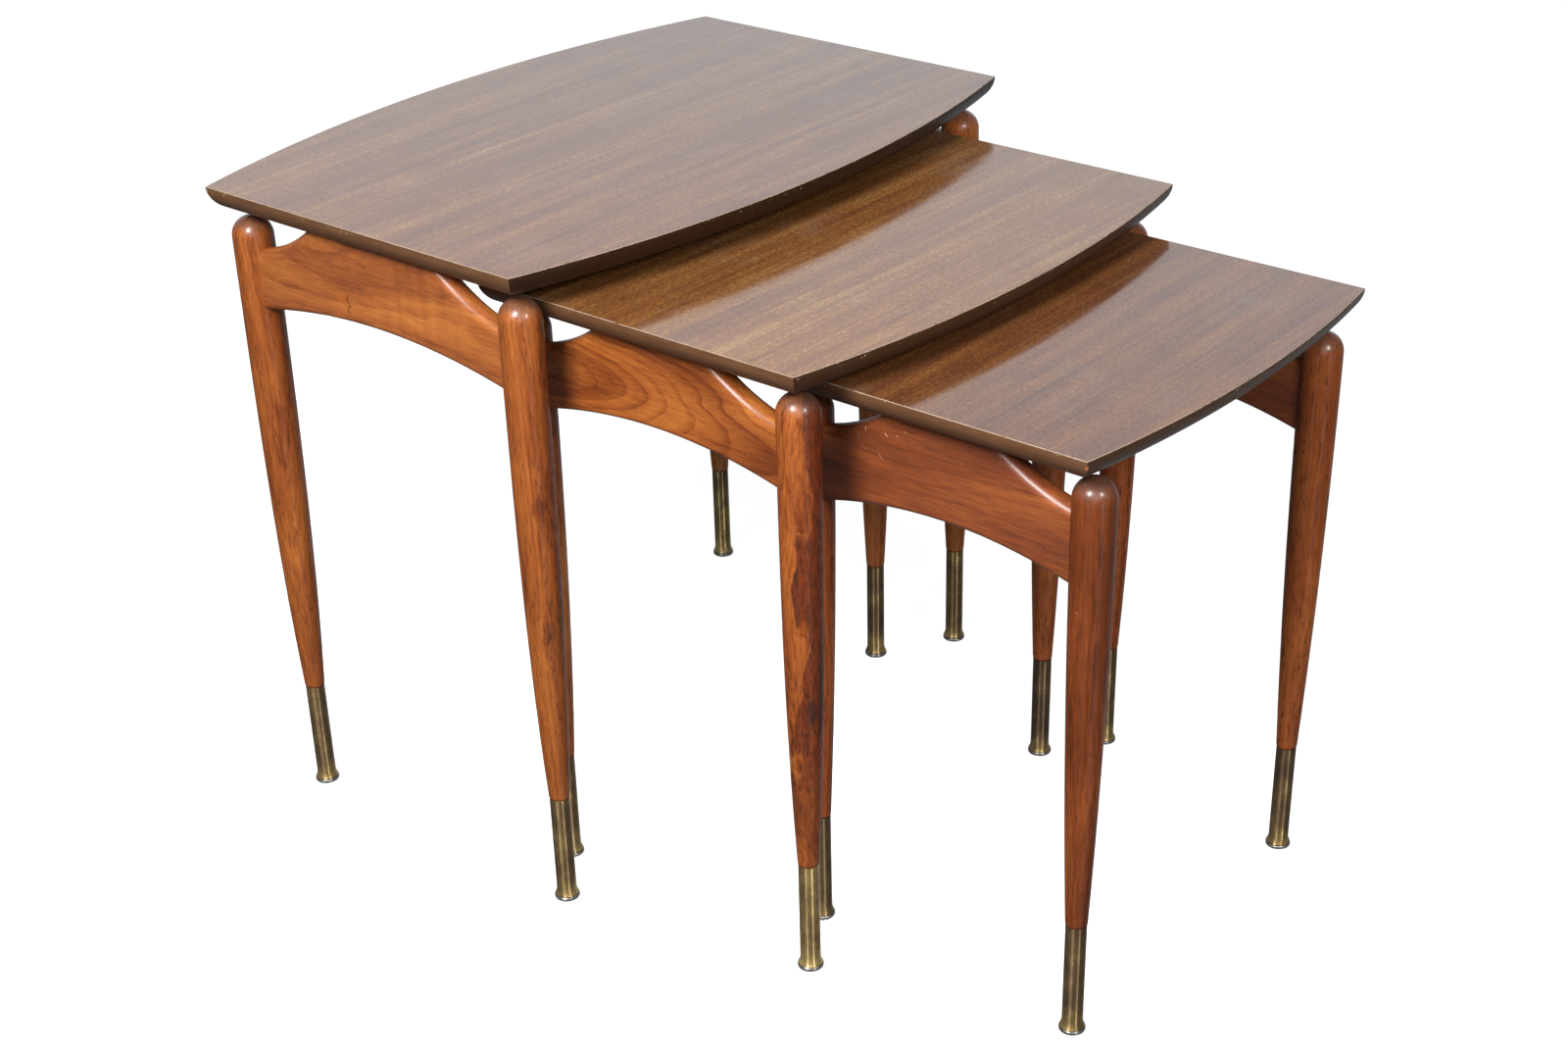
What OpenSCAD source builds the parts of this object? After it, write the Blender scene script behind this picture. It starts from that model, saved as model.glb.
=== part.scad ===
// Nest of three side tables with bowed tops, turned legs and brass-capped feet.
// +X runs along the tables' length, -Y is the side the smaller tables are pulled
// out of, +Z is up. The origin is on the floor, in the middle of the set's outline.

/* [Large table] */
// Length of the large top, between its straight ends
large_length = 602; // [590:1:640]
// Depth of the large top along its straight ends
large_depth = 337; // [325:1:360]
// Height of the large top above the floor
large_height = 560; // [555:1:620]
// Distance of the large table's leg axes from its middle, along the length
large_leg_x = 275; // [275:0.5:280]
// Distance of the large table's leg axes from its middle, across the depth
large_leg_y = 150; // [145:0.5:152]
// Radius of the large table's legs under their domed ends
large_leg_r = 16.8; // [16:0.1:17.5]
// How slowly the large table's legs swell upwards: higher is fuller near the foot
large_leg_fullness = 3.1; // [1.5:0.1:4]
// Depth of the large table's aprons at the middle, from the top surface down
large_apron_drop = 87; // [84:1:100]

/* [Medium table] */
// Length of the medium top
medium_length = 490; // [470:1:492]
// Depth of the medium top along its straight ends
medium_depth = 307; // [290:1:315]
// Height of the medium top above the floor
medium_height = 526; // [515:1:540]
// Distance of the medium table's leg axes from its middle, along the length
medium_leg_x = 214.5; // [214:0.5:220]
// Distance of the medium table's leg axes from its middle, across the depth
medium_leg_y = 132; // [126:0.5:136]
// Radius of the medium table's legs under their domed ends
medium_leg_r = 16.6; // [16:0.1:17.5]
// How slowly the medium table's legs swell upwards
medium_leg_fullness = 2.6; // [1.5:0.1:4]
// Depth of the medium table's aprons at the middle, from the top surface down
medium_apron_drop = 89; // [84:1:100]

/* [Small table] */
// Length of the small top
small_length = 384; // [360:1:386]
// Depth of the small top along its straight ends
small_depth = 274; // [260:1:285]
// Height of the small top above the floor
small_height = 498; // [480:1:506]
// Distance of the small table's leg axes from its middle, along the length
small_leg_x = 158.5; // [150:0.5:168]
// Distance of the small table's leg axes from its middle, across the depth
small_leg_y = 123; // [115:0.5:125]
// Radius of the small table's legs under their domed ends
small_leg_r = 16.1; // [16:0.1:17.5]
// How slowly the small table's legs swell upwards
small_leg_fullness = 2.1; // [1.5:0.1:4]
// Depth of the small table's aprons at the middle, from the top surface down
small_apron_drop = 96; // [84:1:104]

/* [Where the tables stand] */
// How far the medium table is pulled out of the large one, centre to centre
medium_pull = 240; // [180:1:300]
// How far the small table is pulled out of the medium one, centre to centre
small_pull = 219; // [170:1:260]
// Sideways offset of the medium table from the large one
medium_shift = -11; // [-12:0.5:12]
// Sideways offset of the small table from the medium one
small_shift = 4; // [-5:0.5:5]

/* [Tops] */
// Radius in plan of the bowed long edges
bow_r = 1107; // [1000:1:1400]
// Thickness of a whole top
top_t = 17; // [15:0.5:19]
// Radius of the edge's rounded undercut, seen in section
edge_r = 20.6; // [20:0.1:26]
// Thickness of the laminate sheet
laminate_t = 1; // [0.6:0.1:1.2]
// Width of the trimmed bevel on the laminate's edge
laminate_bevel = 0.4; // [0.2:0.1:0.5]
// Thickness of the edge bands
band_t = 0.8; // [0.5:0.1:1.2]

/* [Legs] */
// Radius of the wood just above the brass
leg_foot_r = 8.7; // [8.6:0.1:9.5]
// Round-over of the wood where it meets the brass
leg_foot_round = 2.5; // [1:0.1:3]
// Depth of the centre of a leg's domed end below the top surface
dome_drop = 43.5; // [40:0.5:50]

/* [Brass feet] */
// Height of a ferrule's upper rim above the floor
ferrule_h = 98.5; // [80:0.5:110]
// Outer radius of a ferrule
ferrule_r = 8.25; // [8:0.05:8.5]
// Radius of a ferrule's flared rim
flare_r = 10.0; // [9:0.1:10.4]
// Wall of a ferrule
ferrule_wall = 0.95; // [0.8:0.05:1.2]
// Radius of a steel glide
glide_r = 10.5; // [10:0.1:11]
// Height of a glide's disc
glide_h = 3.6; // [3.2:0.1:4]
// Radius of the rounding of a glide's edges
glide_round = 1.5; // [1:0.1:1.6]

/* [Aprons] */
// Thickness of an apron
apron_t = 19; // [17:1:22]
// How much lower an apron's arched edge is at the legs
arch_rise = 15; // [8:1:20]
// Reach of a notch along the underside, from the leg's axis
notch_reach = 80; // [60:1:85]
// Height that a notch's edge falls between the underside and the leg
notch_fall = 34.5; // [25:0.5:40]
// Radius of a notch
notch_r = 150; // [120:5:200]
// Distance from the leg's axis to the notch's lower end
notch_end = 15; // [12:1:18]
// Round-over of the notches' edges
notch_round = 8; // [4:0.5:9]
// Round-over of the arched lower edge
arch_round = 5; // [2:0.5:6]

/* [Hidden] */
LARGE = 0;
MEDIUM = 1;
SMALL = 2;
LEFT = -1;
RIGHT = 1;
FRONT = -1;
BACK = 1;

lengths = [large_length, medium_length, small_length];
depths = [large_depth, medium_depth, small_depth];
heights = [large_height, medium_height, small_height];
leg_x = [large_leg_x, medium_leg_x, small_leg_x];
leg_y = [large_leg_y, medium_leg_y, small_leg_y];
leg_r = [large_leg_r, medium_leg_r, small_leg_r];
leg_fullness = [large_leg_fullness, medium_leg_fullness, small_leg_fullness];
apron_drop = [large_apron_drop, medium_apron_drop, small_apron_drop];

function bow(k) = bow_r - sqrt(bow_r * bow_r - lengths[k] * lengths[k] / 4);
function half_depth(k) = depths[k] / 2 + bow(k);
set_middle = (half_depth(LARGE) - medium_pull - small_pull - half_depth(SMALL)) / 2;
table_xs = [0, medium_shift, medium_shift + small_shift];
table_ys = [-set_middle, -set_middle - medium_pull, -set_middle - medium_pull - small_pull];

dowel_r = 4;
dowel_length = 36;
dowel_depth_in_leg = 16;
dowel_edge_gap = 13;
screw_r = 2;
screw_head_r = 4;
screw_head_h = 3;
screw_grip = 22;
screw_length = 33;
screw_end_gap = 15;
counterbore_r = 5;
counterbore_h = 100;
nail_r = 1.4;
nail_top = 26;
ferrule_floor = 8;
flare_start = 10.5;
rim_r = 0.4;
spigot_r = ferrule_r - ferrule_wall;
// Where the wood's round-over above the brass ends, and the taper starts
seat_z = ferrule_h + leg_foot_round;
// Radius of the arc that flares a ferrule, from its height and its widening
flare_tall = flare_start - glide_h - rim_r;
flare_wide = flare_r - ferrule_r;
flare_arc_r = (flare_tall * flare_tall + flare_wide * flare_wide) / (2 * flare_wide);
taper_steps = 24;
far = 2000;
margin = 1;
// Facets of small rounds, and of the long shallow arcs
fine = 96;
very_fine = 720;

WOOD = "saddlebrown";
PRINT = "rosybrown";
BAND = [0.32, 0.22, 0.13];
BRASS = "darkgoldenrod";
STEEL = "silver";

module at_table(k) {
    translate([table_xs[k], table_ys[k], 0]) children();
}

module at_leg(k, side, end) {
    translate([side * leg_x[k], end * leg_y[k], 0]) children();
}

// ---------- tops ----------

// One edge in section: flat above and below, rounded under. reach is the distance
// from the section's origin to the top arris, inset moves the whole edge inwards.
module edge_section(k, reach, inset) {
    low = heights[k] - top_t;
    tall = top_t - laminate_t;
    translate([0, low]) square([reach - edge_r, tall]);
    intersection() {
        translate([reach - edge_r, heights[k]]) circle(r = edge_r - inset, $fn = fine);
        translate([0, low]) square([reach, tall]);
    }
}

// The slab between the two straight ends.
module between_ends(k, inset) {
    rotate([90, 0, 0])
        linear_extrude(height = far, center = true)
            for (side = [LEFT, RIGHT])
                mirror([side == LEFT ? 1 : 0, 0]) edge_section(k, lengths[k] / 2, inset);
}

// The disc whose rim is one bowed edge.
module bowed_disc(k, end, inset) {
    translate([0, end * (half_depth(k) - bow_r), 0])
        rotate_extrude($fn = very_fine) edge_section(k, bow_r, inset);
}

module slab(k, end_inset, bow_inset) {
    intersection() {
        between_ends(k, end_inset);
        bowed_disc(k, FRONT, bow_inset);
        bowed_disc(k, BACK, bow_inset);
    }
}

module top_core(k) {
    color(WOOD) at_table(k) slab(k, band_t, band_t);
}

module band_along_bow(k, end) {
    color(BAND) at_table(k)
        difference() {
            slab(k, band_t, 0);
            bowed_disc(k, end, band_t);
        }
}

module band_along_end(k, side) {
    color(BAND) at_table(k)
        difference() {
            slab(k, 0, 0);
            between_ends(k, band_t);
            translate([side > 0 ? -far : 0, -far, 0]) cube([far, 2 * far, far]);
        }
}

// The laminate in section, from start to reach, with its bevelled arris at reach.
module laminate_section(k, start, reach) {
    low = heights[k] - laminate_t;
    high = heights[k];
    far_side = start < 0 ? laminate_bevel : 0;
    polygon([[start, low], [reach, low], [reach, high - laminate_bevel], [reach - laminate_bevel, high],
             [start + far_side, high], [start, high - far_side]]);
}

module laminate_disc(k, end) {
    translate([0, end * (half_depth(k) - bow_r), 0])
        rotate_extrude($fn = very_fine) laminate_section(k, 0, bow_r);
}

module top_laminate(k) {
    color(PRINT) at_table(k)
        intersection() {
            rotate([90, 0, 0])
                linear_extrude(height = far, center = true)
                    laminate_section(k, -lengths[k] / 2, lengths[k] / 2);
            laminate_disc(k, FRONT);
            laminate_disc(k, BACK);
        }
}

// ---------- legs and feet ----------

function dome_z(k) = heights[k] - dome_drop;
function taper(k, t) = leg_r[k] - (leg_r[k] - leg_foot_r) * pow(1 - t, leg_fullness[k]);

// A leg in half section: domed end, full taper, rounded foot and a spigot for the brass.
module leg_section(k) {
    tall = dome_z(k) - seat_z;
    polygon(concat(
        [[0, seat_z]],
        [for (i = [0 : taper_steps]) [taper(k, i / taper_steps), seat_z + tall * i / taper_steps]],
        [[0, dome_z(k)]]));
    intersection() {
        translate([0, dome_z(k)]) circle(r = leg_r[k], $fn = fine);
        translate([0, dome_z(k) - margin]) square([leg_r[k], leg_r[k] + margin]);
    }
    intersection() {
        translate([leg_foot_r - leg_foot_round, seat_z]) circle(r = leg_foot_round, $fn = fine);
        translate([0, ferrule_h]) square([leg_foot_r, leg_foot_round + margin]);
    }
    translate([0, ferrule_h]) square([leg_foot_r - leg_foot_round, leg_foot_round + margin]);
    translate([0, ferrule_floor]) square([spigot_r, ferrule_h - ferrule_floor + margin]);
}

module whole_leg(k, side, end) {
    at_leg(k, side, end) rotate_extrude($fn = fine) leg_section(k);
}

module leg(k, side, end) {
    color(WOOD) at_table(k)
        difference() {
            whole_leg(k, side, end);
            joint_dowels(k, side, end);
            at_leg(k, side, end) cylinder(r = nail_r, h = nail_top, $fn = fine);
        }
}

// A ferrule in half section: a straight thin tube with a floor, flared to a rounded rim.
module ferrule_section() {
    difference() {
        union() {
            translate([0, glide_h]) square([ferrule_r, ferrule_h - glide_h]);
            difference() {
                translate([0, glide_h]) square([flare_r, flare_start - glide_h]);
                translate([ferrule_r + flare_arc_r, flare_start]) circle(r = flare_arc_r, $fn = very_fine);
                difference() {
                    translate([flare_r - rim_r, 0]) square([rim_r + margin, glide_h + rim_r]);
                    translate([flare_r - rim_r, glide_h + rim_r]) circle(r = rim_r, $fn = fine);
                }
            }
        }
        translate([0, ferrule_floor]) square([spigot_r, ferrule_h]);
        square([nail_r, ferrule_h]);
    }
}

module ferrule(k, side, end) {
    color(BRASS) at_table(k) at_leg(k, side, end) rotate_extrude($fn = fine) ferrule_section();
}

// A steel glide: a disc with rounded edges, wider than the brass, and the nail that holds it.
module glide() {
    inner = glide_r - glide_round;
    rotate_extrude($fn = fine)
        union() {
            square([inner, glide_h]);
            translate([0, glide_round]) square([glide_r, glide_h - 2 * glide_round]);
            translate([inner, glide_round]) circle(r = glide_round, $fn = fine);
            translate([inner, glide_h - glide_round]) circle(r = glide_round, $fn = fine);
        }
    cylinder(r = nail_r, h = nail_top, $fn = fine);
}

module glides(k) {
    color(STEEL) at_table(k)
        for (side = [LEFT, RIGHT], end = [FRONT, BACK])
            at_leg(k, side, end) glide();
}

// ---------- aprons and their fixings ----------

// Radius of an apron's arch, and the height of the arc's centre.
function arch_r(k) = (pow(leg_y[k] - notch_end, 2) + arch_rise * arch_rise) / (2 * arch_rise);
function arch_z(k) = heights[k] - apron_drop[k] - arch_r(k);

// Centre of a notch's arc, worked out from the two ends of its chord.
notch_run = notch_reach - notch_end;
notch_chord = sqrt(notch_run * notch_run + notch_fall * notch_fall);
notch_height = sqrt(notch_r * notch_r - notch_chord * notch_chord / 4);
notch_out = notch_height * notch_fall / notch_chord - (notch_reach + notch_end) / 2;
notch_up = notch_height * notch_run / notch_chord - notch_fall / 2;

module notch_centre(k, end) {
    translate([end * (leg_y[k] + notch_out), heights[k] - top_t + notch_up, 0]) children();
}

// An apron's side view, in Y and Z, reaching to the leg axes at both ends.
module apron_outline(k) {
    difference() {
        translate([-leg_y[k], arch_z(k)])
            square([2 * leg_y[k], heights[k] - top_t - arch_z(k)]);
        translate([0, arch_z(k)]) circle(r = arch_r(k), $fn = very_fine);
        for (end = [FRONT, BACK])
            notch_centre(k, end) circle(r = notch_r, $fn = very_fine);
    }
}

// Turns an outline in Y and Z upright, with its thickness along X.
module upright() {
    rotate([90, 0, 90]) children();
}

// What a round-over takes off both edges of a board along an arc of radius r.
module arc_round_over(r, round_r) {
    rotate_extrude($fn = very_fine)
        for (face = [-1, 1])
            mirror([0, face < 0 ? 1 : 0])
                difference() {
                    translate([r - margin, apron_t / 2 - round_r]) square(round_r + margin);
                    translate([r + round_r, apron_t / 2 - round_r]) circle(r = round_r, $fn = fine);
                }
}

module apron_board(k) {
    difference() {
        upright() linear_extrude(height = apron_t, center = true) apron_outline(k);
        upright() translate([0, arch_z(k), 0]) arc_round_over(arch_r(k), arch_round);
        for (end = [FRONT, BACK])
            upright() notch_centre(k, end) arc_round_over(notch_r, notch_round);
    }
}

module apron(k, side) {
    color(WOOD) at_table(k)
        difference() {
            translate([side * leg_x[k], 0, 0]) apron_board(k);
            for (end = [FRONT, BACK]) {
                whole_leg(k, side, end);
                joint_dowels(k, side, end);
                screw_place(k, side, end) screw_hole();
            }
        }
}

// The two dowels of one joint between an apron and a leg.
module joint_dowels(k, side, end) {
    low = heights[k] - apron_drop[k] - arch_rise + dowel_edge_gap;
    high = heights[k] - top_t - notch_fall - dowel_edge_gap;
    for (z = [low, high])
        translate([side * leg_x[k], end * (leg_y[k] - leg_r[k] + dowel_depth_in_leg), z])
            rotate([end * 90, 0, 0]) cylinder(r = dowel_r, h = dowel_length, $fn = fine);
}

module dowels(k) {
    color("burlywood") at_table(k)
        for (side = [LEFT, RIGHT], end = [FRONT, BACK])
            joint_dowels(k, side, end);
}

module screw_place(k, side, end) {
    across = leg_y[k] - notch_reach - screw_end_gap;
    translate([side * leg_x[k], end * across, heights[k] - top_t]) children();
}

// The shank's hole and the counterbore that runs up from the arched edge.
module screw_hole() {
    translate([0, 0, -screw_grip]) cylinder(r = screw_r, h = screw_grip + margin, $fn = fine);
    translate([0, 0, -screw_grip - counterbore_h])
        cylinder(r = counterbore_r, h = counterbore_h, $fn = fine);
}

module screws(k) {
    color(STEEL) at_table(k)
        for (side = [LEFT, RIGHT], end = [FRONT, BACK])
            screw_place(k, side, end) {
                translate([0, 0, -screw_grip]) cylinder(r = screw_r, h = screw_length, $fn = fine);
                translate([0, 0, -screw_grip - screw_head_h])
                    cylinder(r = screw_head_r, h = screw_head_h, $fn = fine);
            }
}

// ---------- all pieces of the three tables ----------

NAMES = ["large", "medium", "small"];

for (k = [LARGE, MEDIUM, SMALL]) {
    top_core(k);
    top_laminate(k);
    band_along_bow(k, FRONT);
    band_along_bow(k, BACK);
    band_along_end(k, LEFT);
    band_along_end(k, RIGHT);
    apron(k, LEFT);
    apron(k, RIGHT);
    leg(k, LEFT, FRONT);
    leg(k, RIGHT, FRONT);
    leg(k, LEFT, BACK);
    leg(k, RIGHT, BACK);
    ferrule(k, LEFT, FRONT);
    ferrule(k, RIGHT, FRONT);
    ferrule(k, LEFT, BACK);
    ferrule(k, RIGHT, BACK);
    glides(k);
    dowels(k);
    screws(k);
}
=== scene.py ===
"""Looks for a nest of three side tables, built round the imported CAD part.

Units are metres in the part's own frame: +X along the tables' length, -Y the side that the
smaller tables are pulled out of, +Z up, the floor at z = 0.
"""

import math

import bpy
from mathutils import Matrix, Vector


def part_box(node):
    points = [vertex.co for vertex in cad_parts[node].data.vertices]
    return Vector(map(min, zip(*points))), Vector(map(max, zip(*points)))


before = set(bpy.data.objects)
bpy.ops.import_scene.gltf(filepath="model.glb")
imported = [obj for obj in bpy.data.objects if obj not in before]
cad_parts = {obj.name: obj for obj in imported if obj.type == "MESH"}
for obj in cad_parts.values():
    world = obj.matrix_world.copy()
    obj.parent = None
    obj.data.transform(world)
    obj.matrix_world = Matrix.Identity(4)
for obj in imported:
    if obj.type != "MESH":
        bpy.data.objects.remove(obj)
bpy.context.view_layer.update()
TABLES = ("large", "medium", "small")
LEG_ENDS = ("front_left", "front_right", "back_left", "back_right")


# ---------------------------------------------------------------- node graphs
class Graph:
    """A node tree, with one short call for each kind of node."""

    def __init__(self, tree):
        self.tree = tree

    def feed(self, socket, value):
        if isinstance(value, bpy.types.NodeSocket):
            self.tree.links.new(value, socket)
        elif isinstance(value, (tuple, list)) and len(value) == 3 and socket.type == "RGBA":
            socket.default_value = (*value, 1)
        else:
            socket.default_value = value

    def node(self, kind, inputs, output=0, **settings):
        made = self.tree.nodes.new("ShaderNode" + kind)
        for key, value in settings.items():
            setattr(made, key, value)
        for key, value in inputs.items():
            self.feed(made.inputs[key], value)
        return made.outputs[output]

    def axes(self, vector):
        made = self.tree.nodes.new("ShaderNodeSeparateXYZ")
        self.feed(made.inputs[0], vector)
        return made.outputs[0], made.outputs[1], made.outputs[2]

    def vector(self, x, y, z):
        return self.node("CombineXYZ", {0: x, 1: y, 2: z})

    def scaled(self, vector, by):
        return self.node("VectorMath", {0: vector, 1: by}, operation="MULTIPLY")

    def dot(self, vector, other):
        return self.node("VectorMath", {0: vector, 1: other}, output=1, operation="DOT_PRODUCT")

    def math(self, operation, a, b=0.0):
        return self.node("Math", {0: a, 1: b}, operation=operation)

    def add(self, *values):
        total = values[0]
        for value in values[1:]:
            total = self.math("ADD", total, value)
        return total

    def times(self, *values):
        product = values[0]
        for value in values[1:]:
            product = self.math("MULTIPLY", product, value)
        return product

    def times_plus(self, a, b, c):
        return self.node("Math", {0: a, 1: b, 2: c}, operation="MULTIPLY_ADD")

    def centred(self, noise):
        """Noise from -0.5 to 0.5 instead of 0 to 1."""
        return self.math("SUBTRACT", noise, 0.5)

    def slope(self, value, low, high, to_low=0.0, to_high=1.0, shape="LINEAR"):
        """Maps low..high straight to to_low..to_high, flat outside."""
        return self.node("MapRange", {"Value": value, "From Min": low, "From Max": high,
                                      "To Min": to_low, "To Max": to_high},
                         interpolation_type=shape)

    def span(self, value, low, high, to_low=0.0, to_high=1.0):
        """Maps low..high smoothly to to_low..to_high, flat outside."""
        return self.slope(value, low, high, to_low, to_high, shape="SMOOTHSTEP")


class Look(Graph):
    """A material: a node tree that feeds one Principled shader."""

    def __init__(self, name):
        self.material = bpy.data.materials.new(name)
        self.material.use_nodes = True
        super().__init__(self.material.node_tree)
        self.tree.nodes.clear()
        output = self.tree.nodes.new("ShaderNodeOutputMaterial")
        self.shader = self.tree.nodes.new("ShaderNodeBsdfPrincipled")
        self.tree.links.new(self.shader.outputs[0], output.inputs["Surface"])

    def place(self):
        """The point being shaded, in the part's frame at rest."""
        return self.node("TexCoord", {}, output="Object")

    def place_from(self, point):
        return self.axes(self.node("VectorMath", {0: self.place(), 1: point},
                                   operation="SUBTRACT"))

    def noise(self, vector, detail=2.0, roughness=0.5):
        """Noise from 0 to 1, one lump to each unit of the vector."""
        return self.node("TexNoise", {"Vector": vector, "Scale": 1.0, "Detail": detail,
                                      "Roughness": roughness})

    def noise_line(self, at, detail=2.0):
        return self.node("TexNoise", {"W": at, "Scale": 1.0, "Detail": detail},
                         noise_dimensions="1D")

    def lumps(self, vector, per_metre, **shape):
        """Noise with this many lumps to a metre along each axis, or along all three."""
        by = per_metre if isinstance(per_metre, tuple) else (per_metre,) * 3
        return self.noise(self.scaled(vector, by), **shape)

    def ramp(self, value, stops):
        made = self.tree.nodes.new("ShaderNodeValToRGB")
        self.feed(made.inputs[0], value)
        points = made.color_ramp.elements
        while len(points) < len(stops):
            points.new(0.5)
        for point, (position, color) in zip(points, stops):
            point.position = position
            point.color = (*color, 1)
        return made.outputs[0]

    def mix(self, factor, a, b, blend="MIX"):
        made = self.tree.nodes.new("ShaderNodeMix")
        made.data_type = "RGBA"
        made.blend_type = blend
        colours = [s for s in made.inputs if s.type == "RGBA"]
        self.feed(made.inputs[0], factor)
        self.feed(colours[0], a)
        self.feed(colours[1], b)
        return [s for s in made.outputs if s.type == "RGBA"][0]

    def bump(self, height, distance, strength):
        return self.node("Bump", {"Height": height, "Distance": distance, "Strength": strength})

    def finish(self, **inputs):
        for key, value in inputs.items():
            self.feed(self.shader.inputs[key.replace("_", " ")], value)
        return self.material


# ---------------------------------------------------------------- wood
# Oiled walnut, from its darkest streaks to its palest.
WALNUT = [
    (0.00, (0.052, 0.0105, 0.0030)),
    (0.28, (0.148, 0.0330, 0.0070)),
    (0.50, (0.246, 0.0660, 0.0125)),
    (0.72, (0.345, 0.1090, 0.0205)),
    (1.00, (0.485, 0.1830, 0.0400)),
]
# A leg's dark side is partly dark walnut figure and partly painted shade on the side turned from
# the lamps. These are its colour, its dashes, and its stains, which are deepened as painted shade.
DARK_WOOD_AND_SHADE = (0.135, 0.0260, 0.0058)
DARK_DASH = (0.075, 0.0160, 0.0045)
STAIN_AND_SHADE = (0.040, 0.0120, 0.0060)
RED_FILTER = (0.80, 0.50, 0.55)
PORE_BROWN = (0.034, 0.0090, 0.003)
# Darker brown for the top of a leg: dust, and painted shade under the table top.
GRIME_AND_SHADE_BROWN = (0.084, 0.045, 0.032)
SCUFF_PALE = (0.52, 0.30, 0.18)
CRACK_BROWN = (0.060, 0.012, 0.004)
SCRATCH_PALE = (0.60, 0.38, 0.26)

# Lumps to a metre of each noise in the wood: across the grain twice, then along it.
WOOD_SCALE = {
    "drift": (13, 13, 3.4), "wiggle": (60, 60, 20), "faint": (30, 30, 8),
    "mineral": (150, 150, 14), "fibre": (420, 420, 36), "cloud": (24, 24, 8),
    "pore": (760, 760, 95), "ripple": (5, 9, 85), "rippled_parts": (3, 6, 9),
    "dash": (360, 360, 150), "stain": (45, 45, 14), "scuff": (330, 330, 200),
}
DARK_ARCH = 0.048  # height of each arch in the edge of a leg's dark side
SCRATCH_LANES = 120  # lanes to a metre in which a scratch may lie


# A leg's dark side is partly the walnut's own dark figure and partly painted shade, laid on the
# side turned away from the lamps. Its stains thicken into it as painted shade.
def dark_figure_and_shade_of(g, log, drift, wiggle, cloud, dark_figure_and_shade):
    """How far a point is into a leg's dark side, and where that side, its dashes and stains are.

    The side begins dark_figure_and_shade[2] from the axis in the direction dark_figure_and_shade[:2], along a ragged
    edge of arches. It reaches further round near the leg's top, and fades down the leg.
    """
    across, over, along = g.axes(log)
    arch = g.math("PINGPONG", g.add(along, g.times(drift, 0.10)), DARK_ARCH)
    side = g.add(g.times(across, dark_figure_and_shade[0]), g.times(over, dark_figure_and_shade[1]),
                 g.times(g.math("SUBTRACT", arch, DARK_ARCH / 2), 0.16),
                 g.span(along, 0.130, 0.200, 0.0, -0.007),
                 g.times(g.centred(cloud), 0.030),
                 g.times(g.centred(wiggle), 0.026))
    dark = g.span(side, dark_figure_and_shade[2], dark_figure_and_shade[2] + 0.003)
    dark = g.times(dark, g.span(along, -0.12, 0.00, 0.4, 1.0))
    dash = g.span(g.lumps(log, WOOD_SCALE["dash"], detail=3, roughness=0.6), 0.44, 0.58)
    stain = g.lumps(log, WOOD_SCALE["stain"], detail=3)
    # The stains thicken deeper into the side: painted shade over real stains.
    stain = g.span(g.add(stain, g.times(side, 4.0)), 0.56, 0.66)
    return side, dark, dash, stain


def crack_at(g, log, place_along, place_over):
    """One short dark crack across the grain."""
    _, over, along = g.axes(log)
    wander = g.times(g.centred(g.lumps(log, 160)), 0.016)
    beside = g.math("ABSOLUTE", g.add(along, -place_along, wander))
    up = g.math("ABSOLUTE", g.add(over, -place_over))
    return g.times(g.span(beside, 0.0004, 0.0016, 1.0, 0.0), g.span(up, 0.006, 0.010, 1.0, 0.0))


def scratches_between(g, log, start, end):
    """A few short slanting scratches in the upper half of a board, from start to end along it."""
    _, over, along = g.axes(log)
    lengthwise = g.add(g.times(along, 0.60), g.times(over, 0.80))
    beside = g.add(g.times(along, 0.80), g.times(over, -0.60))
    bend = g.noise_line(g.times(lengthwise, 22), detail=1)
    lane = g.math("FRACT", g.add(g.times(beside, SCRATCH_LANES), g.times(bend, 1.3)))
    line = g.span(g.math("ABSOLUTE", g.centred(lane)), 0.022, 0.050, 1.0, 0.0)
    stretch = g.noise(g.vector(g.times(lengthwise, 95), g.times(beside, SCRATCH_LANES), 0.0))
    here = g.times(g.span(along, start, start + 0.01), g.span(along, end, end + 0.01, 1.0, 0.0),
                   g.span(over, 0.0, 0.012))
    return g.times(line, g.span(stretch, 0.56, 0.61), here)


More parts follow.
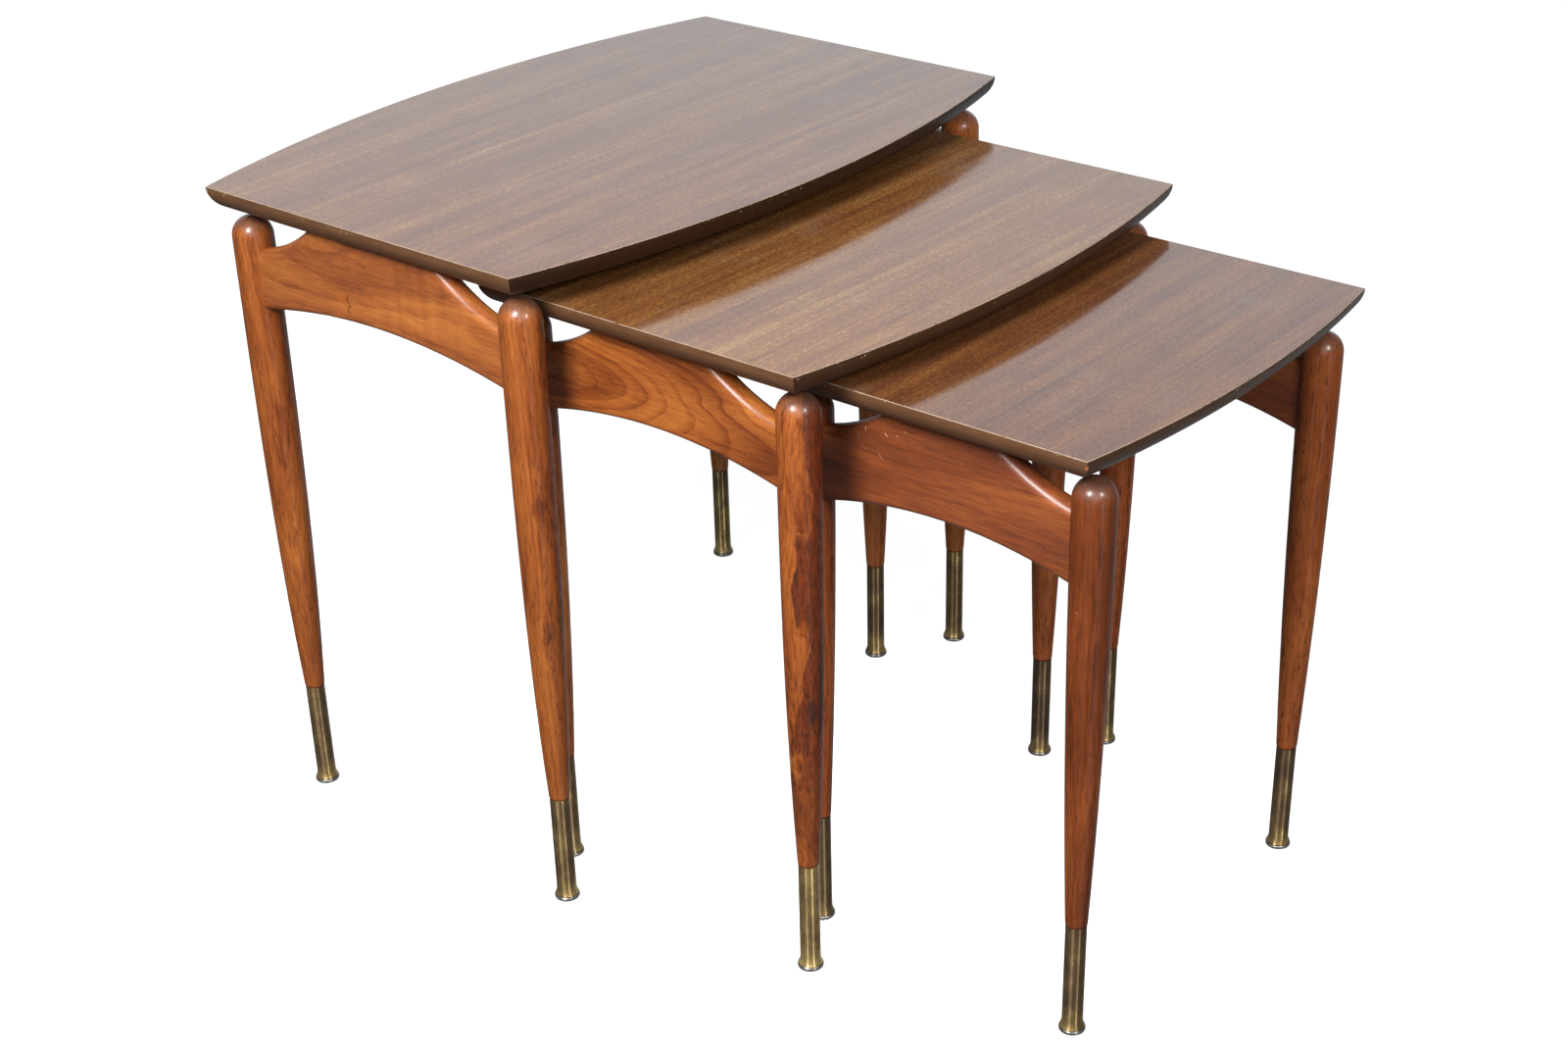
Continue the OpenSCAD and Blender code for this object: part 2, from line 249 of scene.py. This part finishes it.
def walnut(name, centre, grain, pith, tilt=(0.0, 0.0), ring=0.0042, tone=0.0, dark_figure_and_shade=None,
           pores=1.0, redness=0.0, figure=1.0, curl=0.0, gloss=(0.28, 0.22), grime_and_shade_above=None,
           scratched=None, painted_sheen=None, flaw=None):
    """Oiled walnut cut from a log whose heart runs along the grain axis, pith away from centre.

    tilt is the heart's lean, ring a year's growth, figure how much the rings show, and curl how
    much the grain ripples. dark_figure_and_shade is for a leg: see dark_figure_and_shade_of, and
    last how dark it is.
    gloss is the weight and roughness of the oiled skin. Near its top, above the height given, a leg
    is painted darker: dust, and painted shade under the table top.
    scratched is a stretch along a board, and flaw a crack's place along and over it. The pale film
    mixed into the colour is a painted sheen, given as its share and colour.
    """
    g = Look(name)
    x, y, z = g.place_from(centre)
    across, over, along = {"Z": (x, y, z), "Y": (x, z, y)}[grain]
    log = g.vector(across, over, along)

    # The rings are wobbly shells round the heart.
    drift = g.lumps(log, WOOD_SCALE["drift"])
    wiggle = g.lumps(log, WOOD_SCALE["wiggle"], detail=3)
    from_x = g.add(across, -pith[0], g.times(along, -tilt[0]))
    from_y = g.add(over, -pith[1], g.times(along, -tilt[1]))
    radius = g.math("SQRT", g.add(g.times(from_x, from_x), g.times(from_y, from_y)))
    radius = g.add(radius, g.times(drift, 0.026), g.times(wiggle, 0.0034))
    year = g.math("DIVIDE", radius, ring)
    broad = g.noise_line(g.times(year, 0.38))
    late_wood = g.span(g.math("FRACT", year), 0.62, 0.98)

    faint = g.lumps(log, WOOD_SCALE["faint"], detail=1)
    mineral = g.lumps(log, WOOD_SCALE["mineral"], detail=3, roughness=0.65)
    fibre = g.lumps(log, WOOD_SCALE["fibre"], detail=3, roughness=0.65)
    cloud = g.lumps(log, WOOD_SCALE["cloud"], detail=3)
    pore_noise = g.lumps(log, WOOD_SCALE["pore"], detail=1)
    pore = g.times(g.span(pore_noise, 0.58, 0.66), g.span(broad, 0.35, 0.62, 1.0, 0.35))
    value = g.add(
        tone + 0.5,
        g.times(g.centred(broad), 0.60 * figure),
        g.times(late_wood, faint, -0.22 * figure),
        g.times(g.span(mineral, 0.56, 0.74), -0.16),
        g.times(g.centred(fibre), 0.54),
        g.times(g.centred(cloud), 0.60),
    )
    if curl:
        ripple = g.centred(g.lumps(log, WOOD_SCALE["ripple"]))
        where = g.span(g.lumps(log, WOOD_SCALE["rippled_parts"], detail=1), 0.42, 0.62)
        value = g.add(value, g.times(ripple, where, curl))

    if dark_figure_and_shade:
        darkness = dark_figure_and_shade[3]
        side, dark, dash, stain = dark_figure_and_shade_of(g, log, drift, wiggle, cloud, dark_figure_and_shade)
        if darkness > 0.8:
            nested_lines = g.span(g.math("FRACT", g.times(side, 210)), 0.55, 0.95)
            value = g.add(value, g.times(nested_lines, -0.16))
        pore = g.math("MAXIMUM", pore, g.times(dark, g.span(pore_noise, 0.52, 0.62)))
    colour = g.ramp(value, WALNUT)
    # Mixes in the dark side: dark figure with painted shade, its dashes, and its stains deepened as
    # painted shade.
    if dark_figure_and_shade:
        colour = g.mix(g.times(dark, darkness), colour, DARK_WOOD_AND_SHADE)
        colour = g.mix(g.times(dark, dash, 0.75 * darkness), colour, DARK_DASH)
        colour = g.mix(g.times(dark, stain, 0.9 * darkness), colour, STAIN_AND_SHADE)
    if redness:
        colour = g.mix(redness, colour, RED_FILTER, blend="MULTIPLY")
    colour = g.mix(g.times(pore, 0.66 * pores), colour, PORE_BROWN)

    coat = gloss[0]
    # Near its top a leg is painted darker: dust, and painted shade under the table top.
    if grime_and_shade_above is not None:
        ragged = g.times(g.centred(g.lumps(log, 110, detail=3)), 0.014)
        grime = g.span(g.add(along, ragged), grime_and_shade_above, grime_and_shade_above + 0.010)
        colour = g.mix(g.times(grime, 0.62), colour, GRIME_AND_SHADE_BROWN)
        coat = g.span(along, grime_and_shade_above - 0.012, grime_and_shade_above, 0.2 * gloss[0], gloss[0] + 0.14)
    # A pale film mixed into the colour: a painted sheen.
    if painted_sheen:
        colour = g.mix(painted_sheen[0], colour, painted_sheen[1])
    scuff = g.span(g.lumps(log, WOOD_SCALE["scuff"]), 0.755, 0.785)
    colour = g.mix(g.times(scuff, 0.35), colour, SCUFF_PALE)
    if flaw:
        colour = g.mix(g.times(crack_at(g, log, *flaw), 0.8), colour, CRACK_BROWN)
    height = g.add(g.times(fibre, 0.15), g.times(pore, -1.0))
    if scratched:
        scratch = scratches_between(g, log, *scratched)
        colour = g.mix(g.times(scratch, 0.8), colour, SCRATCH_PALE)
        height = g.add(height, g.times(scratch, -1.0))

    return g.finish(Base_Color=colour, Specular_IOR_Level=0.22,
                    Roughness=g.add(0.36, g.times(pore, 0.25), g.times(cloud, 0.10)),
                    Coat_Weight=coat, Coat_Roughness=gloss[1], Coat_IOR=1.5,
                    Normal=g.bump(height, 0.00010, 0.8))


def bare_wood(name, dark, light, per_metre):
    g = Look(name)
    streak = g.lumps(g.place(), per_metre, detail=4, roughness=0.6)
    return g.finish(Base_Color=g.ramp(streak, [(0.3, dark), (0.7, light)]), Roughness=0.8,
                    Normal=g.bump(streak, 0.0002, 0.5))


# ---------------------------------------------------------------- tops
# The laminate's print, from its darkest streaks to its palest.
PRINT = [
    (0.00, (0.0400, 0.0135, 0.0090)),
    (0.28, (0.0920, 0.0315, 0.0125)),
    (0.52, (0.1600, 0.0620, 0.0175)),
    (0.74, (0.2600, 0.1480, 0.0440)),
    (1.00, (0.4100, 0.3050, 0.1400)),
]
HANDLING_HAZE = (0.28, 0.24, 0.20)
HAIRLINE_BROWN = (0.045, 0.020, 0.012)
# The pale colour of a top's bevelled arris, in layers: a painted highlight.
PAPER_LAYERS_HIGHLIT = [(0.3, (0.20, 0.145, 0.098)), (0.7, (0.32, 0.24, 0.17))]
PAPER_NICK = (0.10, 0.06, 0.035)
BAND_BROWN = [(0.30, (0.086, 0.037, 0.016)), (0.70, (0.128, 0.059, 0.027))]
# Darker browns for the band: painted shade low down, where it turns under, and on the faces turned
# to -Y.
BAND_SHADE_LOW = (0.030, 0.014, 0.008)
BAND_FRONT_SHADE = (0.024, 0.0095, 0.0035)
BAND_NICK = (0.40, 0.30, 0.21)
BAND_SPECK = (0.24, 0.15, 0.09)
CHIP_BARE = (0.46, 0.13, 0.035)


def laminate(name, centre, seed, tone):
    """Glossy printed sheet: ribbon-striped walnut with its grain along X."""
    g = Look(name)
    x, straight_y, _ = g.place_from(centre)
    sway = g.noise(g.vector(g.times(x, 1.6), g.times(straight_y, 5.0), seed), detail=1)
    y = g.add(straight_y, g.times(sway, 0.016))

    def layer(per_x, per_y, slice_up, **shape):
        """Noise with per_x and per_y lumps to a metre, each layer in a slice of its own."""
        return g.noise(g.vector(g.times(x, per_x), g.times(y, per_y), seed + slice_up), **shape)

    colour = g.ramp(g.add(
        tone - 0.76,
        g.times(layer(1.0, 30, 3), 0.42),
        g.times(layer(2.8, 100, 7, detail=4, roughness=0.6), 0.50),
        g.times(layer(7.0, 260, 11, detail=3, roughness=0.6), 0.36),
        g.times(layer(190, 620, 13, roughness=0.7), 0.84),
        g.times(layer(22, 40, 17, detail=3), 0.24),
    ), PRINT)
    smudge = layer(9, 9, 19, detail=5, roughness=0.7)
    colour = g.mix(g.span(smudge, 0.50, 0.75, 0.0, 0.12), colour, HANDLING_HAZE)
    hairline = g.span(g.math("ABSOLUTE", g.centred(layer(5, 16, 23))), 0.0005, 0.0025, 1.0, 0.0)
    sparse = g.span(layer(14, 14, 29), 0.66, 0.70)
    colour = g.mix(g.times(hairline, sparse, 0.6), colour, HAIRLINE_BROWN)
    return g.finish(Base_Color=colour, Roughness=g.span(smudge, 0.30, 0.75, 0.085, 0.17),
                    IOR=1.52, Normal=g.bump(g.lumps(g.place(), 700), 0.00001, 0.3))


def laminate_bevel_highlight(name):
    """The laminate's trimmed bevel, coloured pale in layers as a painted highlight."""
    g = Look(name)
    layer = g.lumps(g.place(), (40, 40, 2500))
    nick = g.span(g.lumps(g.place(), 170), 0.62, 0.70)
    return g.finish(Base_Color=g.mix(nick, g.ramp(layer, PAPER_LAYERS_HIGHLIT), PAPER_NICK),
                    Roughness=0.45, Normal=g.bump(layer, 0.00004, 0.5))


def edge_band(name, top, shade, chip=None):
    """Brown satin strip of a top's edge, under a table top at height top.

    It is painted darker low down, where it turns under, and on the front faces by shade: both are
    painted shade. It is nicked along its upper arris.
    chip is the place of a corner knocked bare.
    """
    g = Look(name)
    z = g.axes(g.place())[2]
    streak = g.lumps(g.place(), (30, 30, 300), detail=4, roughness=0.65)
    colour = g.ramp(streak, BAND_BROWN)
    # Painted shade: darker towards the lower edge, where the band turns under.
    shade_low_down = g.span(z, top - 0.016, top - 0.004, 1.0, 0.0)
    colour = g.mix(g.times(shade_low_down, 0.35), colour, BAND_SHADE_LOW)
    # Painted shade: the faces turned to -Y are darker, by the share shade.
    facing_y = g.axes(g.node("TexCoord", {}, output="Normal"))[1]
    colour = g.mix(g.span(facing_y, -0.8, -0.4, shade, 0.0), colour, BAND_FRONT_SHADE)
    knocked = g.span(g.lumps(g.place(), 14, detail=1), 0.50, 0.62)
    nick = g.span(g.lumps(g.place(), (300, 300, 420), roughness=0.6), 0.64, 0.69)
    nick = g.times(nick, knocked, g.span(z, top - 0.0055, top - 0.0020))
    colour = g.mix(nick, colour, BAND_NICK)
    speck = g.span(g.lumps(g.place(), 260, detail=3), 0.72, 0.77)
    colour = g.mix(g.times(speck, 0.5), colour, BAND_SPECK)
    height = g.add(g.times(streak, 0.3), g.times(nick, -1.0))
    if chip:
        away = g.node("VectorMath", {0: g.place(), 1: chip}, output=1, operation="DISTANCE")
        ragged = g.add(away, g.times(g.lumps(g.place(), 420), 0.0035))
        bare = g.span(ragged, 0.0036, 0.0044, 1.0, 0.0)
        colour = g.mix(bare, colour, CHIP_BARE)
        height = g.add(height, g.times(bare, -2.0))
    return g.finish(Base_Color=colour, Roughness=g.span(streak, 0.2, 0.8, 0.36, 0.50),
                    Specular_IOR_Level=0.26, Normal=g.bump(height, 0.00015, 0.5))


# ---------------------------------------------------------------- metal
BRASS = [
    (0.28, (0.130, 0.081, 0.047)),
    (0.48, (0.225, 0.141, 0.068)),
    (0.66, (0.450, 0.300, 0.120)),
    (0.90, (0.840, 0.610, 0.250)),
]
BRASS_DIRT = (0.085, 0.070, 0.058)
STEEL = [(0.30, (0.150, 0.130, 0.118)), (0.62, (0.280, 0.255, 0.235))]


def round_axis_z(g):
    """The direction round a turned part, for metal brushed on a lathe."""
    return g.node("Tangent", {}, direction_type="RADIAL", axis="Z")


def aged_brass(name, centre, seed, polish):
    g = Look(name)
    x, y, z = g.place_from(centre)
    lifted = g.add(z, seed)
    patch = g.lumps(g.vector(x, y, lifted), (70, 70, 34), detail=5, roughness=0.7)
    rings = g.noise(g.vector(0.0, 0.0, g.times(lifted, 900)))
    rubbed_low = g.span(z, 0.008, 0.030, 0.16, 0.0)
    value = g.add(patch, rubbed_low, polish, g.times(g.centred(rings), 0.12))
    dirt_line = g.span(g.add(z, g.times(g.centred(patch), 0.002)), 0.0042, 0.0050, 1.0, 0.0)
    return g.finish(Base_Color=g.mix(g.times(dirt_line, 0.7), g.ramp(value, BRASS), BRASS_DIRT),
                    Metallic=0.80, Roughness=g.span(value, 0.3, 0.9, 0.33, 0.25),
                    Anisotropic=0.96, Anisotropic_Rotation=0.25, Tangent=round_axis_z(g),
                    Specular_IOR_Level=0.3, Normal=g.bump(rings, 0.00002, 0.4))


def steel(name):
    g = Look(name)
    grime = g.lumps(g.place(), 300, detail=3)
    return g.finish(Base_Color=g.ramp(grime, STEEL), Metallic=0.80,
                    Roughness=g.span(grime, 0.3, 0.7, 0.26, 0.38), Anisotropic=0.6,
                    Anisotropic_Rotation=0.25, Tangent=round_axis_z(g))


# ---------------------------------------------------------------- dressing the CAD pieces
# Each leg's own cut of wood: see walnut. A leg not named here gets a plain one.
LEG_WOOD = {
    "large_front_left": dict(pith=(-0.070, 0.060), tilt=(0.02, 0.05), tone=-0.02, figure=0.8,
                             dark_figure_and_shade=(0.64, -0.77, 0.004, 0.38)),
    "large_front_right": dict(pith=(0.060, 0.050), tilt=(0.02, 0.01), tone=0.28, redness=0.45),
    "large_back_left": dict(pith=(-0.050, -0.062), tilt=(0.06, 0.03), tone=-0.05, ring=0.0034,
                            figure=0.6),
    "large_back_right": dict(pith=(-0.040, 0.070), tilt=(0.01, 0.03), tone=0.30),
    "medium_front_left": dict(pith=(-0.060, -0.050), tilt=(0.03, 0.08), tone=0.02, redness=0.10,
                              ring=0.0060, dark_figure_and_shade=(0.64, -0.77, -0.0045, 1.0)),
    "medium_front_right": dict(pith=(0.070, -0.030), tilt=(0.02, 0.02), tone=0.08, redness=0.60,
                               pores=1.4),
    # This leg's tone is raised to make up for the shade the other tables cast on it: painted light.
    "medium_back_right": dict(pith=(-0.070, 0.020), tilt=(0.03, 0.01), tone=0.38, redness=0.65),
    "small_front_left": dict(pith=(0.050, -0.090), tilt=(0.03, 0.02), tone=-0.27, figure=0.55,
                             pores=0.8),
    "small_front_right": dict(pith=(-0.030, -0.100), tilt=(0.02, 0.0), tone=0.03, redness=0.38,
                              figure=0.5, pores=1.35),
    "small_back_left": dict(pith=(0.060, -0.040), tilt=(0.02, 0.01), tone=-0.07, redness=0.50,
                            pores=1.3),
    "small_back_right": dict(pith=(0.040, 0.080), tilt=(0.01, 0.02), tone=0.08, redness=0.45,
                             pores=1.3),
}
APRON_WOOD = {
    "large": dict(pith=(0.09, 0.02), tilt=(0.01, 0.0), tone=-0.01, ring=0.0060, pores=0.55,
                  figure=0.9, curl=0.34, gloss=(0.42, 0.30), painted_sheen=(0.03, (0.62, 0.28, 0.15)),
                  flaw=(0.030, -0.012)),
    "medium": dict(pith=(-0.045, -0.01), tilt=(0.14, 0.06), ring=0.0046, pores=0.45,
                   figure=1.35),
    "small": dict(pith=(0.12, 0.05), tilt=(0.01, 0.02), tone=-0.17, ring=0.0060, redness=0.22,
                  pores=0.45, figure=0.6, scratched=(0.024, 0.066), gloss=(0.45, 0.30),
                  painted_sheen=(0.05, (0.26, 0.15, 0.11))),
}
TOP_TONE = {"large": 0.00, "medium": 0.05, "small": -0.08}
# How far each table's front bands are painted darker, as painted shade.
BAND_SHADE = {"large": 1.0, "medium": 0.70, "small": 0.60}
# How much brighter than plain aged brass each foot is, or duller.
POLISH = {"large_front_right": -0.05, "large_back_left": -0.02, "medium_front_left": 0.10,
          "medium_front_right": -0.07, "medium_back_right": -0.07, "small_front_left": -0.06,
          "small_front_right": -0.09, "small_back_left": -0.12, "small_back_right": -0.13}
DOME_GRIME_AND_SHADE = 0.013  # how far down from a leg's top it is painted darker: dust, and painted shade under the table top
CHIP_DOWN = 0.0060  # how far below the top face the small table's chipped corner is


def dress(node, material):
    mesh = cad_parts[node].data
    mesh.materials.clear()
    mesh.materials.append(material)
    for face in mesh.polygons:
        face.material_index = 0


def trim_edges(node, trim, side):
    """Gives a flat sheet's bevelled arris one more material, and its upright edge another."""
    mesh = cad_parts[node].data
    mesh.materials.append(trim)
    mesh.materials.append(side)
    for face in mesh.polygons:
        face.material_index = 0 if abs(face.normal.z) > 0.95 else 1 if face.normal.z > 0.3 else 2


def middle(node):
    low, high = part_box(node)
    return (low + high) / 2


def plain_leg(number):
    """A cut of plain wood for a leg, its heart turned differently for each number."""
    turn = 2.4 * number
    return dict(pith=(0.075 * math.cos(turn), 0.075 * math.sin(turn)),
                tilt=(0.03 * math.sin(turn), 0.03 * math.cos(turn)))


def dress_top(table, rank):
    sheet = f"{table}_top_laminate"
    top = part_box(sheet)[1].z
    band_look = edge_band(f"edge_band_{table}", top, BAND_SHADE[table])
    dress(sheet, laminate(f"laminate_{table}", middle(sheet), 10.0 * rank + 2.0,
                          TOP_TONE[table]))
    trim_edges(sheet, bevel_highlight_look, band_look)
    dress(f"{table}_top_core", core_shade_look)
    for edge in ("front", "back", "left", "right"):
        dress(f"{table}_band_{edge}", band_look)
    if table == "small":
        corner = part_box("small_band_left")[0]
        chipped = edge_band("edge_band_small_chipped", top, BAND_SHADE[table],
                            chip=(corner.x, corner.y, top - CHIP_DOWN))
        dress("small_band_left", chipped)
        dress("small_band_front", chipped)


def dress_leg(table, end, number):
    leg = f"{table}_{end}"
    node = f"{table}_leg_{end}"
    half_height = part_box(node)[1].z - middle(node).z
    dress(node, walnut(f"walnut_{node}", middle(node), "Z",
                       grime_and_shade_above=half_height - DOME_GRIME_AND_SHADE,
                       **LEG_WOOD.get(leg, plain_leg(number))))
    node = f"{table}_ferrule_{end}"
    foot = middle(node)
    foot.z = 0
    dress(node, aged_brass(f"brass_{node}", foot, 0.37 * number, POLISH.get(leg, 0.0)))


# The top's core, underside included, is coloured near black: painted shade for the underside and
# the gap over the legs.
core_shade_look = bare_wood("core_board_painted_shade", (0.022, 0.012, 0.006), (0.045, 0.025, 0.013),
                      (8, 60, 60))
# The tops' bevelled arrises: a painted highlight.
bevel_highlight_look = laminate_bevel_highlight("laminate_bevel_painted_highlight")
dowel_look = bare_wood("dowel_wood", (0.25, 0.16, 0.08), (0.40, 0.27, 0.14), (300, 20, 300))
steel_look = steel("steel_worn")

for rank, table in enumerate(TABLES):
    dress_top(table, rank)
    for side in ("left", "right"):
        node = f"{table}_apron_{side}"
        dress(node, walnut(f"walnut_{node}", middle(node), "Y", **APRON_WOOD[table]))
    for place, end in enumerate(LEG_ENDS):
        dress_leg(table, end, len(LEG_ENDS) * rank + place)
    dress(f"{table}_glides", steel_look)
    dress(f"{table}_screws", steel_look)
    dress(f"{table}_dowels", dowel_look)


# ---------------------------------------------------------------- studio
FLOOR_REACH = 12.0
CLOTH_START, CLOTH_BEND, CLOTH_TOP = 11.0, 3.0, 14.0
CLOTH_SIDES, CLOTH_STEPS = 64, 12
WHITE = (1.0, 1.0, 1.0)

# The light that the surroundings cast: a bright wall behind the tables, dim elsewhere.
WALL_BEHIND = 1.24
WALL_AROUND = 0.22
WALL_BELOW = 0.12
FLOOR_RIGHT = 0.40
WALL_TINT = (0.89, 1.00, 1.08, 1)
TOWARDS_WALL = (0.771, 0.637, 0.0)
TOWARDS_RIGHT = (0.97, 0.24, 0.0)
# The lamps' glare on the floor under them: which way it lies, and its strength.
GLARE = (((-0.990, -0.141, 0.0), 1.6), ((-0.286, -0.958, 0.0), 3.4))

# The camera, and each lamp's name, azimuth from the camera, elevation, width and power.
CAMERA_PLACE = (-1.4440, -1.1808, 1.1959)
CAMERA_TURN = (50.458, 29.745, -1.240)  # yaw, pitch and roll, in degrees
CAMERA_LENS = 56.348
CAMERA_SHIFT = (-0.0153, 0.0802)
SENSOR_WIDTH = 36.0
LAMPS = (
    ("soft_box_left", -31.0, 40.0, 0.80, 84.0),
    ("soft_box_right", 34.0, 32.0, 0.44, 25.0),
    ("fill_front", 4.0, 26.0, 1.60, 12.0),
)
LAMP_DISTANCE = 2.2
LIT_POINT = Vector((0, 0, 0.4))


def staged(name, points, faces, material):
    mesh = bpy.data.meshes.new(name)
    mesh.from_pydata(points, [], faces)
    mesh.materials.append(material)
    made = bpy.data.objects.new(name, mesh)
    bpy.context.scene.collection.objects.link(made)
    return made


def glowing_white(name, lumps_per_metre, dark, light, glow):
    """A matt pale surface, lit mostly by itself so that it stays even."""
    g = Look(name)
    tint = g.ramp(g.lumps(g.place(), lumps_per_metre), [(0.3, (dark,) * 3), (0.7, (light,) * 3)])
    return g.finish(Base_Color=tint, Roughness=0.9, Specular_IOR_Level=0.0,
                    Emission_Color=WHITE, Emission_Strength=glow)


def studio_floor():
    corners = [(x * FLOOR_REACH, y * FLOOR_REACH, 0)
               for x, y in ((-1, -1), (1, -1), (1, 1), (-1, 1))]
    floor = staged("studio_floor", corners, [(0, 1, 2, 3)],
                   glowing_white("floor_white", 1.2, 0.34, 0.37, 0.86))
    floor.visible_glossy = False
    floor.visible_diffuse = False


def studio_backdrop():
    """A pale cloth round the floor's rim, curving up from it, that only the camera sees."""
    profile = [(CLOTH_START, 0.0)]
    for step in range(1, CLOTH_STEPS + 1):
        turn = math.radians(90 / CLOTH_STEPS * step)
        profile.append((CLOTH_START + CLOTH_BEND * math.sin(turn),
                        CLOTH_BEND - CLOTH_BEND * math.cos(turn)))
    profile.append((CLOTH_START + CLOTH_BEND, CLOTH_TOP))
    just_under_floor = 0.002
    points = [(r * math.cos(2 * math.pi * k / CLOTH_SIDES),
               r * math.sin(2 * math.pi * k / CLOTH_SIDES), z - just_under_floor)
              for r, z in profile for k in range(CLOTH_SIDES)]
    faces = []
    for ring in range(len(profile) - 1):
        here, above = ring * CLOTH_SIDES, (ring + 1) * CLOTH_SIDES
        for k in range(CLOTH_SIDES):
            following = (k + 1) % CLOTH_SIDES
            faces.append((here + k, here + following, above + following, above + k))
    cloth = staged("studio_backdrop", points, faces,
                   glowing_white("backdrop_white", 0.6, 0.10, 0.12, 0.96))
    for ray in ("glossy", "diffuse", "transmission", "volume_scatter", "shadow"):
        setattr(cloth, "visible_" + ray, False)


def studio_walls():
    """The surroundings' light, by its direction, way. level is how far way runs along the floor."""
    world = bpy.data.worlds.new("studio_walls")
    bpy.context.scene.world = world
    world.use_nodes = True
    g = Graph(world.node_tree)
    way = g.node("TexCoord", {}, output="Generated")
    height = g.axes(way)[2]
    level = g.node("VectorMath", {0: g.scaled(way, (1.0, 1.0, 0.0))}, output=1,
                   operation="LENGTH")

    def facing(direction):
        return g.math("DIVIDE", g.dot(way, direction), level)

    wall = g.times(g.slope(facing(TOWARDS_WALL), 0.55, 0.86), g.slope(height, -0.04, 0.12),
                   g.slope(height, 0.70, 0.86, 1.0, 0.0))
    around = g.slope(height, -0.10, 0.30, WALL_BELOW, WALL_AROUND)
    around = g.times_plus(g.slope(facing(TOWARDS_RIGHT), 0.70, 0.97),
                          g.slope(height, -0.20, 0.05, FLOOR_RIGHT, 0.0), around)
    strength = g.times_plus(wall, WALL_BEHIND - WALL_AROUND, around)
    on_floor = g.times(g.slope(height, -0.90, -0.70), g.slope(height, -0.16, -0.04, 1.0, 0.0))
    for direction, glow in GLARE:
        strip = g.times(g.slope(facing(direction), 0.994, 0.999), on_floor)
        strength = g.times_plus(strip, glow, strength)
    background = world.node_tree.nodes["Background"]
    g.feed(background.inputs["Strength"], strength)
    background.inputs["Color"].default_value = WALL_TINT


def camera():
    """Seen from the front left, a little above the tops. Returns the camera's place."""
    place = Vector(CAMERA_PLACE)
    yaw, pitch, roll = (math.radians(turn) for turn in CAMERA_TURN)
    forward = Vector((math.sin(yaw) * math.cos(pitch), math.cos(yaw) * math.cos(pitch),
                      -math.sin(pitch)))
    level = Vector((math.cos(yaw), -math.sin(yaw), 0))
    upright = level.cross(forward)
    right = math.cos(roll) * level + math.sin(roll) * upright
    up = math.cos(roll) * upright - math.sin(roll) * level
    data = bpy.data.cameras.new("camera")
    data.sensor_width = SENSOR_WIDTH
    data.lens = CAMERA_LENS
    data.shift_x, data.shift_y = CAMERA_SHIFT
    data.clip_start = 0.05
    view = bpy.data.objects.new("camera", data)
    turn = Matrix((right, up, -forward)).transposed()
    view.matrix_world = Matrix.Translation(place) @ turn.to_4x4()
    bpy.context.scene.collection.objects.link(view)
    bpy.context.scene.camera = view
    return place


def lamp(name, position, width, power):
    """A round soft box, turned to the tables."""
    light = bpy.data.lights.new(name, "AREA")
    light.shape = "DISK"
    light.size = width
    light.energy = power
    made = bpy.data.objects.new(name, light)
    made.location = position
    made.rotation_mode = "QUATERNION"
    made.rotation_quaternion = (position - LIT_POINT).to_track_quat("Z", "Y")
    bpy.context.scene.collection.objects.link(made)


eye = camera()
studio_floor()
studio_backdrop()
studio_walls()
towards_eye = math.atan2((eye - LIT_POINT).x, -(eye - LIT_POINT).y)
for name, azimuth, elevation, width, power in LAMPS:
    a, e = towards_eye + math.radians(azimuth), math.radians(elevation)
    direction = Vector((math.sin(a) * math.cos(e), -math.cos(a) * math.cos(e), math.sin(e)))
    lamp(name, LIT_POINT + LAMP_DISTANCE * direction, width, power)

bpy.context.scene.view_settings.view_transform = "Standard"
